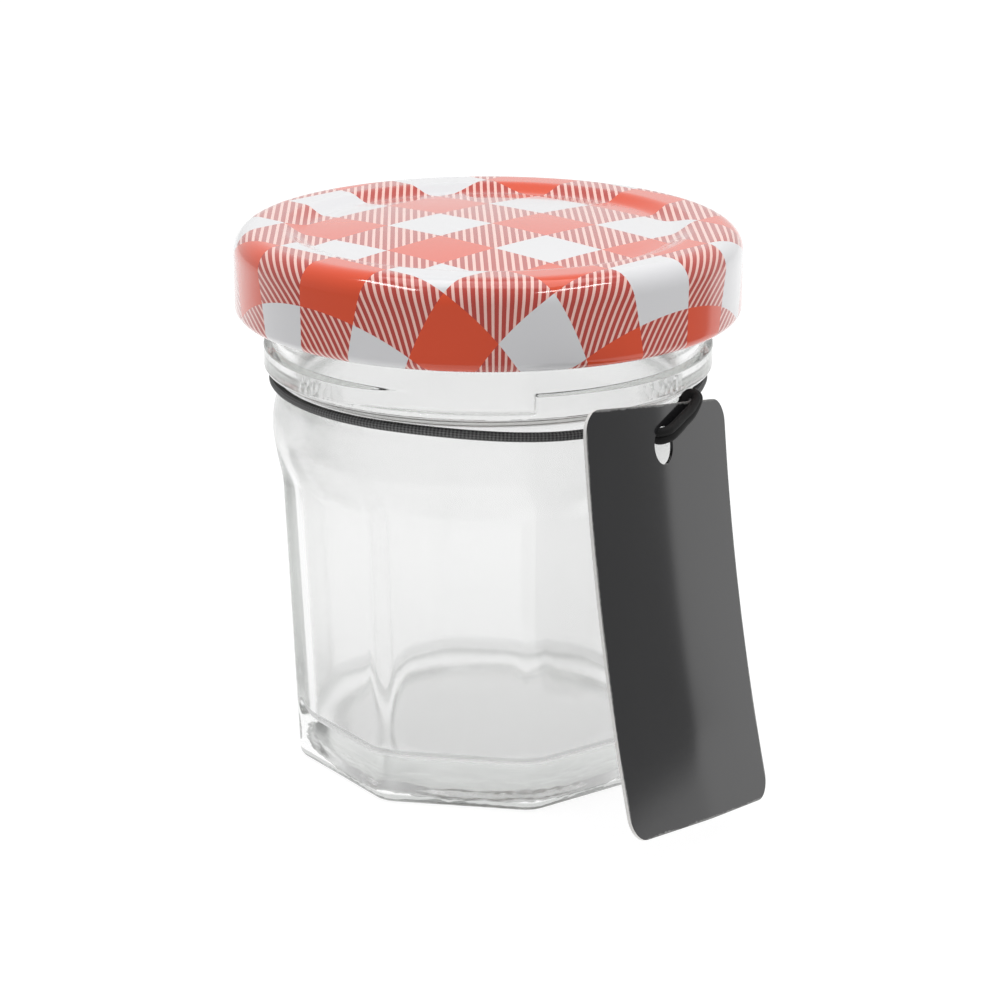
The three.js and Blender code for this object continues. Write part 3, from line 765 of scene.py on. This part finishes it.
clear_glass, tree, shader = finish_named("clear_glass")
spot = object_place(tree)
x = Wire.node(tree, "ShaderNodeSeparateXYZ", {}, {0: spot}, out="X")
y, z = x.also("Y"), x.also("Z")
waves = speckle(tree, spot, 130, 1.0)
pits = Wire.node(tree, "ShaderNodeTexVoronoi", {}, {"Vector": spot, "Scale": 1500}, out="Distance")
reach = (x * x + y * y).sqrt()
standing = under(z, 0.05, 0.35) * over(reach, 13.2, 13.8)
band = over(z, 37.4, 37.5) * under(z, 37.9, 38.0) * over(reach, 19.8, 19.9)
bearing = x.math("ARCTAN2", x, y * -1) * (180 / math.pi)
beside = 1 - abs(abs(bearing - 10.5) - 46.5).ease(6, 9)
middle = 1 - abs(bearing + 2.5).ease(7, 9)
collar_grain = beside * over(z, 37.6, 37.8) * under(z, 39.0, 39.3) * over(reach, 20.1, 20.2)
stretched = Wire.node(tree, "ShaderNodeVectorMath", {"operation": "MULTIPLY"}, {0: spot, 1: (1, 1, 2.5)})
mottle = speckle(tree, stretched, 420, 2.0) * under(z, 3.0, 4.5) * over(reach, 15.6, 16.0)
stipple = (standing + band) * 0.4 + band * middle * 1.5 + collar_grain * 1.5
relief = waves * 0.35 + mottle * 2.0 + pits * stipple
shoulder_haze = over(z, 26, 30) * under(z, 34.5, 35.5)
well_haze = under(z, 5, 12) * under(reach, 16.2, 16.4)
corner = over(z, 3.82, 3.95) * under(z, 4.6, 4.8) * under(reach, 16.2, 16.4)
haze = 0.09 + shoulder_haze * 0.11 + well_haze * 0.13 + corner * 0.35
# The heel and the inner corner of the floor are painted grey, a painted shade; two rough patches of the collar are
# grey too.
heel_shade = under(z, 0.85, 1.05) * over(reach, 15.7, 16.0)
grey = heel_shade + corner * 0.3 + collar_grain * 0.3
clear = blend_colour(tree, grey, (0.905, 0.906, 0.905, 1), (0.36, 0.37, 0.36, 1))
feed(shader, Base_Color=clear, Roughness=haze, IOR=1.5, Transmission_Weight=1.0)
feed(shader, Normal=bumped(tree, relief, 0.00012, 0.35))
depth = Wire.node(tree, "ShaderNodeVolumeAbsorption", {}, {"Color": (0.80, 0.825, 0.80, 1), "Density": 21.0})
finish_end = next(n for n in tree.nodes if n.type == "OUTPUT_MATERIAL")
tree.links.new(depth.socket, finish_end.inputs["Volume"])


# %% Rule of the glass skin
def ring_grid(tree, profile, columns):
    """A grid with a row for each profile point and a column for each step round the axis."""
    rows = Wire.node(tree, "GeometryNodeAttributeDomainSize", {}, {0: profile}, out="Point Count")
    grid = Wire.node(tree, "GeometryNodeMeshGrid", {}, {"Vertices X": rows, "Vertices Y": columns + 1})
    index = Wire.node(tree, "GeometryNodeInputIndex")
    row_number = ((index + 0.5) / (columns + 1)).floor()
    column = index - row_number * (columns + 1)
    return grid, row_number, column


def sampled(tree, profile, row_number, label=None):
    """A number kept on the profile's points, or their places, for each row of the grid."""
    if label is None:
        value = Wire.node(tree, "GeometryNodeInputPosition")
        return Wire.node(tree, "GeometryNodeSampleIndex", {"data_type": "FLOAT_VECTOR"},
                         {"Geometry": profile, "Value": value, "Index": row_number})
    return Wire.node(tree, "GeometryNodeSampleIndex", {"data_type": "FLOAT"},
                     {"Geometry": profile, "Value": recall(tree, label), "Index": row_number})


def put_round(tree, grid, angle, radius, height):
    """Set the grid's points round the axis and close its seam and poles."""
    place = Wire.node(tree, "ShaderNodeCombineXYZ", {},
                      {"X": radius * angle.sin(), "Y": radius * angle.cos() * -1, "Z": height})
    moved = Wire.node(tree, "GeometryNodeSetPosition", {}, {0: grid, "Position": place})
    return Wire.node(tree, "GeometryNodeMergeByDistance", {}, {0: moved, "Distance": 0.0004 * MM})


skin, (profile, columns) = shape_tree("faceted_glass", Columns="Int")
grid, row_number, column = ring_grid(skin, profile, columns)
place = sampled(skin, profile, row_number)
radius = Wire.node(skin, "ShaderNodeSeparateXYZ", {}, {0: place}, out="X")
height = radius.also("Z")
share = sampled(skin, profile, row_number, "share")
rounding = sampled(skin, profile, row_number, "rounding") * MM / radius.larger(0.1 * MM)
threaded = sampled(skin, profile, row_number, "finish")

half_facet = math.pi / FACETS
steps = column / columns * FACETS
facet = (steps + 0.0001).floor()
t = (steps - facet) * 2 - 1
tilt = (t + (t * math.pi).sin() * (EDGE_CROWDING / math.pi)) * half_facet
angle = facet * (2 * half_facet) + tilt

centre = (1 - rounding) / math.cos(half_facet)
from_edge = half_facet - abs(tilt)
side = centre * from_edge.sin()
rounded = centre * from_edge.cos() + (rounding * rounding - side * side).larger(0).sqrt()
flat_end = (1 - rounding) * math.tan(half_facet)
meets = flat_end.math("ARCTANGENT", flat_end)
is_flat = abs(tilt) < meets
reach = is_flat / tilt.cos() + (1 - is_flat) * rounded
faceted = radius * (1 + share * (reach - 1))

# %% Raised runs, threads and seam of the glass
bearing = angle * (180 / math.pi)
half_round = 360 / RUNS
along_run = ((bearing - RUN_START) / half_round).fract() * half_round
run_mask = along_run.ease(0, 1.2) * (1 - along_run.ease(RUN_LENGTH - RUN_FADE, RUN_LENGTH + RUN_FADE / 4))
run_edge = 1 - height.ease((RUN_TOP - 0.22) * MM, RUN_TOP * MM)
run_radius = (FINISH_RADIUS + run_mask * run_edge * (COLLAR_RADIUS - FINISH_RADIUS)) * MM

step_round = 360 / STARTS
along_thread = ((bearing - THREAD_ANGLE) / step_round).fract() * step_round
middle = (THREAD_BOTTOM + THREAD_THICKNESS / 2 + along_thread * (LEAD / 360)) * MM
thread_edge = 1 - abs(height - middle).ease(0.22 * MM, 0.52 * MM)
thread_mask = along_thread.ease(0, 3) * (1 - along_thread.ease(THREAD_LENGTH - 3, THREAD_LENGTH))
thread_radius = (FINISH_RADIUS + thread_mask * thread_edge * THREAD_DEPTH) * MM

seam = abs(((bearing - SEAM_ANGLE) / 180 + 0.5).fract() - 0.5) * 180
seam_ridge = (1 - seam.ease(0.1, 0.6)) * threaded * (SEAM_HEIGHT * MM)
relieved = faceted.larger(run_radius * threaded).larger(thread_radius * threaded) + seam_ridge
close_tree(skin, put_round(skin, grid, angle, relieved, height), clear_glass)

glass_line = polyline(
    "glass_line",
    [(r[0] * MM, 0, r[1] * MM) for r in jar_rows],
    share=[r[2] for r in jar_rows],
    rounding=[r[3] for r in jar_rows],
    finish=[r[4] for r in jar_rows],
)
glass_body = grown("glass_body", glass_line, skin, Columns=288)

# %% [markdown]
# The lid is one pressing of thin tinplate: a slightly domed panel, a step up to the land, a rounded edge, a skirt
# and a curl with four lugs. The sheet was printed flat and then pressed, so the check runs on from the top over
# the edge and down the skirt. To get that, each row keeps how far it lies from the middle along the sheet, and the
# UV map holds the place on the flat blank.

# %% Sizes of the lid
LID_TOP = 50.0
LID_BOTTOM = 42.14
LID_RADIUS = 23.0
SHEET = 0.25
EDGE = 2.1
LAND_RADIUS = 18.81
PANEL_RADIUS = 16.41
PANEL_DEPTH = 0.7
PANEL_DOME = 0.53
CURL = 0.875
CURL_INNER = 21.25
CURL_RETURN = 0.4
LUG_BOTTOM = 42.44
LUG_THICKNESS = 0.8
LUG_WIDTH = 16
LUG_START = 36
LUG_ROOT = CURL_INNER + 0.1
LUG_GAP = 0.35
LUG_POINTS = 13


# %% Profile of the lid
def panel_points(drop):
    """The panel and the step round it, from the middle out."""
    edge = LID_TOP - PANEL_DEPTH
    points = [(PANEL_RADIUS * i / 12, edge + PANEL_DOME * (1 - (i / 12) ** 2)) for i in range(12)]
    for i in range(17):
        t = i / 16
        rise = PANEL_DEPTH * t * t * (3 - 2 * t)
        points.append((PANEL_RADIUS + (LAND_RADIUS - PANEL_RADIUS) * t, edge + rise))
    return [(radius, height - drop) for radius, height in points]


edge_radius = LID_RADIUS - EDGE
edge_height = LID_TOP - EDGE
curl_radius = CURL_INNER + CURL
curl_height = LID_BOTTOM + CURL
outside = panel_points(0)
outside += [(LAND_RADIUS + (edge_radius - LAND_RADIUS) * i / 4, LID_TOP) for i in range(1, 4)]
outside += arc_points(edge_radius, edge_height, EDGE, 90, 0, 14)
outside += [(LID_RADIUS, edge_height + (curl_height - edge_height) * i / 8) for i in range(1, 8)]
outside += arc_points(curl_radius, curl_height, CURL, 0, -180, 18)
outside += [(CURL_INNER, curl_height + CURL_RETURN)]
underside = [(CURL_INNER + SHEET, curl_height + CURL_RETURN)]
underside += arc_points(curl_radius, curl_height, CURL - SHEET, -180, 0, 12)
underside += arc_points(edge_radius, edge_height, EDGE - SHEET, 0, 90, 10)
underside += panel_points(SHEET)[::-1]
lid_points = outside + underside

travelled = [0.0]
for (r0, z0), (r1, z1) in zip(outside, outside[1:]):
    travelled.append(travelled[-1] + math.hypot(r1 - r0, z1 - z0))
travelled += [0.0] * len(underside)
printed = [1.0] * (len(outside) - 4) + [0.0] * (len(underside) + 4)
print("blank for the lid: %.1f mm across" % (2 * travelled[len(outside) - 1]))

# %% [markdown]
# The print is a gingham turned by 45 degrees. On the blank it is a lattice of squares: where both directions are
# dark the square is red, where neither is it stays white, and where they cross it is hatched with fine lines. The
# hatching runs one way only, along the depth of the lid. A clear lacquer lies over it all.

# %% Gingham lacquer
HALF_DIAGONAL = 4.6975
LATTICE_TURN = math.radians(10.95)
LATTICE_X, LATTICE_Y = 0.171, 0.794
HATCHES = 7
HATCH_SHARE = 0.40

gingham, tree, shader = finish_named("gingham_lacquer")
blank = Wire.node(tree, "ShaderNodeUVMap", {"uv_map": "blank"})
on_blank = Wire.node(tree, "ShaderNodeSeparateXYZ", {}, {0: blank}, out="X")
x, y = on_blank - LATTICE_X, on_blank.also("Y") - LATTICE_Y
i = (x * math.cos(LATTICE_TURN) + y * math.sin(LATTICE_TURN)) / HALF_DIAGONAL
j = (y * math.cos(LATTICE_TURN) - x * math.sin(LATTICE_TURN)) / HALF_DIAGONAL
one_way = ((i + j) / 4).fract() > 0.5
other_way = ((i - j) / 4).fract() > 0.5
white = one_way * other_way
red = (1 - one_way) * (1 - other_way)
hatch = (i * HATCHES).fract() < HATCH_SHARE
pale_red = (0.97, 0.62, 0.55, 1)
hatched = blend_colour(tree, hatch, (0.52, 0.066, 0.050, 1), pale_red)
with_white = blend_colour(tree, white, hatched, (0.80, 0.80, 0.81, 1))
ink = blend_colour(tree, red, with_white, (0.80, 0.088, 0.030, 1))
spot = object_place(tree)
peel = speckle(tree, spot, 900, 2.0)
feed(shader, Base_Color=ink, Roughness=0.16 + peel * 0.08, Normal=bumped(tree, peel, 0.00002, 0.15))
feed(shader, Coat_Weight=1.0, Coat_Roughness=0.03, Specular_IOR_Level=0.1)

inner_lacquer, tree, shader = finish_named("inner_lacquer")
spot = object_place(tree)
grain = speckle(tree, spot, 700, 3.0)
cream = blend_colour(tree, grain, (0.78, 0.77, 0.73, 1), (0.86, 0.85, 0.82, 1))
feed(shader, Base_Color=cream, Roughness=0.3 + grain * 0.12, Normal=bumped(tree, grain, 0.00002, 0.2))

# %% Pressing turned from its profile
pressing, (profile, columns) = shape_tree("turned_sheet", Columns="Int")
grid, row_number, column = ring_grid(pressing, profile, columns)
place = sampled(pressing, profile, row_number)
radius = Wire.node(pressing, "ShaderNodeSeparateXYZ", {}, {0: place}, out="X")
height = radius.also("Z")
angle = column / columns * (2 * math.pi)
travel = sampled(pressing, profile, row_number, "travel")
flat_place = Wire.node(pressing, "ShaderNodeCombineXYZ", {},
                       {"X": travel * angle.sin(), "Y": travel * angle.cos() * -1, "Z": 0.0})
noted = store(pressing, grid, "flat_place", flat_place, "FLOAT_VECTOR")
mapped = store(pressing, noted, "blank", recall(pressing, "flat_place", "FLOAT_VECTOR"), "FLOAT2", "CORNER")
sided = store(pressing, mapped, "printed", sampled(pressing, profile, row_number, "printed"))
turned = put_round(pressing, sided, angle, radius, height)

lug = Wire.node(pressing, "GeometryNodeMeshGrid", {}, {"Vertices X": LUG_POINTS, "Vertices Y": LUG_POINTS})
lug_index = Wire.node(pressing, "GeometryNodeInputIndex")
lug_row = ((lug_index + 0.5) / LUG_POINTS).floor()
lug_step = (lug_index - lug_row * LUG_POINTS) / (LUG_POINTS - 1)
from_middle = lug_row / (LUG_POINTS - 1) - 0.5
lug_turn = from_middle * math.radians(LUG_WIDTH)
taper = 1 - abs(from_middle).ease(0.36, 0.5)
swing = lug_step * (2 * math.pi)
lug_reach = (LUG_ROOT - FINISH_RADIUS - LUG_GAP) * MM
lug_radius = LUG_ROOT * MM - lug_reach * 0.5 * (1 + swing.cos()) * taper
lug_height = (LUG_BOTTOM + LUG_THICKNESS / 2) * MM + swing.sin() * (0.5 * LUG_THICKNESS * MM)
lug_form = put_round(pressing, lug, lug_turn, lug_radius, lug_height)
spots = Wire.node(pressing, "GeometryNodeMeshLine", {"mode": "OFFSET"}, {"Count": STARTS, "Offset": (0, 0, 0)})
number = Wire.node(pressing, "GeometryNodeInputIndex")
lug_angle = math.radians(LUG_START + LUG_WIDTH / 2) + number * (2 * math.pi / STARTS)
spin = Wire.node(pressing, "ShaderNodeCombineXYZ", {}, {"Z": lug_angle})
lugs = Wire.node(pressing, "GeometryNodeInstanceOnPoints", {},
                 {"Points": spots, "Instance": lug_form, "Rotation": spin})
joined = Wire.node(pressing, "GeometryNodeJoinGeometry", {}, {0: turned})
pressing.links.new(lugs.socket, joined.socket.node.inputs[0])
real = Wire.node(pressing, "GeometryNodeRealizeInstances", {}, {0: joined})
shaded = Wire.node(pressing, "GeometryNodeSetShadeSmooth", {}, {0: real})
plain = Wire.node(pressing, "GeometryNodeSetMaterial", {}, {0: shaded, "Material": inner_lacquer})
inked = Wire.node(pressing, "GeometryNodeSetMaterial", {},
                  {0: plain, "Selection": recall(pressing, "printed") > 0.99, "Material": gingham})
Wire.node(pressing, "NodeGroupOutput", {}, {0: inked})

lid_line = polyline("lid_line", [(r * MM, 0, z * MM) for r, z in lid_points], travel=travelled, printed=printed)
lid_cap = grown("lid_cap", lid_line, pressing, Columns=256)

# %% [markdown]
# Under the land of the lid lies a flowed ring of sealing compound. It hardly shows, so it is the same turned
# sheet rule on a small rounded section, in a dull cream rubber.

# %% Sealing ring
compound, tree, shader = finish_named("sealing_compound")
spot = object_place(tree)
flow = speckle(tree, spot, 500, 2.0)
rubber = blend_colour(tree, flow, (0.72, 0.69, 0.62, 1), (0.80, 0.77, 0.70, 1))
feed(shader, Base_Color=rubber, Roughness=0.55 + flow * 0.15, Normal=bumped(tree, flow, 0.00005, 0.3))

ring_tree, (profile, columns) = shape_tree("turned_ring", Columns="Int")
grid, row_number, column = ring_grid(ring_tree, profile, columns)
place = sampled(ring_tree, profile, row_number)
radius = Wire.node(ring_tree, "ShaderNodeSeparateXYZ", {}, {0: place}, out="X")
angle = column / columns * (2 * math.pi)
close_tree(ring_tree, put_round(ring_tree, grid, angle, radius, radius.also("Z")), compound)

RING_INNER, RING_OUTER, RING_LOW, RING_HIGH, RING_ROUND = 18.51, 20.2, 48.7, 49.45, 0.25
outer, inner = RING_OUTER - RING_ROUND, RING_INNER + RING_ROUND
low, high = RING_LOW + RING_ROUND, RING_HIGH - RING_ROUND
ring_points = []
for r, z, start in ((outer, low, -90), (outer, high, 0), (inner, high, 90), (inner, low, 180)):
    ring_points += arc_points(r, z, RING_ROUND, start, start + 90, 4)
ring_points = [*ring_points, ring_points[0]][::-1]
ring_line = polyline("ring_line", [(r * MM, 0, z * MM) for r, z in ring_points])
seal_ring = grown("seal_ring", ring_line, ring_tree, Columns=160)

# %% [markdown]
# Every dressed piece now takes the place of its solid and rides on the solid's body, so the lid screws, the cord
# turns and the tag swings as the imported model says. The length of the loop is measured and printed.

# %% Bodies, hidden solids and the cord's length
for piece, body_name, node_name, slot_name in (
    (glass_body, "jar", "jar_glass", "glass"),
    (lid_cap, "lid", "lid_shell", "lid_lacquer"),
    (seal_ring, "lid_seal", "lid_gasket", "sealing_compound"),
    (neck_loop, "cord", "neck_cord", "elastic_cord"),
    (tag_knot, "tag", "tag_hitch", "elastic_cord"),
    (hang_card, "tag", "swing_tag", "black_card"),
):
    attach(piece, body_name)
    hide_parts(node_name)

loop_path = [p * MM for p in loop_route]
route_length(loop_path)
print("cord declared: %.4f m" % route_length(loop_path))

# %% [markdown]
# The jar stands in a bright white room, as on a light table: the floor glows softly round the jar and in a fan
# behind it, the far side is white, and the rest of the floor and the near side are dimmer, so that the thick edges
# of the glass have something dark to bend towards the eye and draw themselves as grey lines. Two tube lamps
# give the thin streaks on the rounded edge of the lid. Light turns round many times inside thick glass before it
# leaves, so its paths may bounce more often than usual; otherwise the edges of the walls would go black.

# %% Floor
SPAN = 3.0
FAN_X, FAN_Y = 0.022, -0.02
FAN_RIGHT = math.radians(126), math.radians(133)
FAN_LEFT = math.radians(-125), math.radians(-80)
POOL_X = 0.01
POOL_EDGE = 0.085, 0.12

# The floor's own colour is a dark grey; its brightness is a painted glow, a pool round the jar and a fan behind it,
# dimmer elsewhere.
glowing_floor, tree, shader = finish_named("glowing_floor_finish")
spot = object_place(tree)
x = Wire.node(tree, "ShaderNodeSeparateXYZ", {}, {0: spot}, out="X")
y = x.also("Y")
bearing = x.math("ARCTAN2", x - FAN_X, FAN_Y - y)
fan = bearing.ease(*FAN_RIGHT) + 1 - bearing.ease(*FAN_LEFT)
near = 1 - ((x - POOL_X) * (x - POOL_X) + y * y).sqrt().ease(*POOL_EDGE)
pool = fan.larger(near)
lit = blend_colour(tree, pool, (0.20, 0.20, 0.20, 1), (1, 1, 1, 1))
feed(shader, Base_Color=(0.18, 0.18, 0.18, 1), Roughness=0.9, Specular_IOR_Level=0.0)
feed(shader, Emission_Color=lit, Emission_Strength=0.92)
floor_mesh = bpy.data.meshes.new("floor")
floor_corners = [(-SPAN, -SPAN, 0), (SPAN, -SPAN, 0), (SPAN, SPAN, 0), (-SPAN, SPAN, 0)]
floor_mesh.from_pydata(floor_corners, [], [(0, 1, 2, 3)])
floor_mesh.materials.append(glowing_floor)
floor = placed("floor", floor_mesh)

# %% Room light
world = bpy.data.worlds.new("white_room")
world.use_nodes = True
bpy.context.scene.world = world
tree = world.node_tree
sky = next(n for n in tree.nodes if n.type == "BACKGROUND")
way = Wire.node(tree, "ShaderNodeTexCoord", out="Generated")
depth = Wire.node(tree, "ShaderNodeSeparateXYZ", {}, {0: way}, out="Y")
stops = [
    (0.0, (0.30, 0.30, 0.31, 1)),
    (0.5, (0.52, 0.52, 0.53, 1)),
    (0.8, (0.70, 0.70, 0.70, 1)),
    (0.95, (0.82, 0.82, 0.82, 1)),
]
glow = Wire.node(tree, "ShaderNodeValToRGB", {"stops": stops}, {0: depth * 0.5 + 0.5})
tree.links.new(glow.socket, sky.inputs["Color"])
sky.inputs["Strength"].default_value = 1.0


# %% Lamps
def lamp(name, place, along, width, length, power):
    """A soft rectangular lamp with its length along a line, aimed at the lid."""
    data = bpy.data.lights.new(name, "AREA")
    data.shape = "RECTANGLE"
    data.size = width
    data.size_y = length
    data.energy = power
    piece = placed(name, data)
    piece.location = place
    back = (Vector(place) - Vector((0, 0, 0.045))).normalized()
    line = Vector(along)
    line = (line - back * line.dot(back)).normalized()
    piece.rotation_euler = Matrix((line.cross(back), line, back)).transposed().to_euler()


lamp("top_softbox", (0, 0.1, 0.8), (0, 1, 0), 0.6, 0.6, 2.0)
lamp("left_tube", (-0.42, -0.26, 0.85), (0.144, -0.54, 0), 0.07, 0.56, 1.85)
lamp("right_tube", (0.505, -0.275, 0.85), (-0.113, -0.6, 0), 0.07, 0.61, 2.0)
bpy.context.scene.view_settings.view_transform = "Standard"
bpy.context.scene.cycles.max_bounces = 32
bpy.context.scene.cycles.glossy_bounces = 24
bpy.context.scene.cycles.transmission_bounces = 32
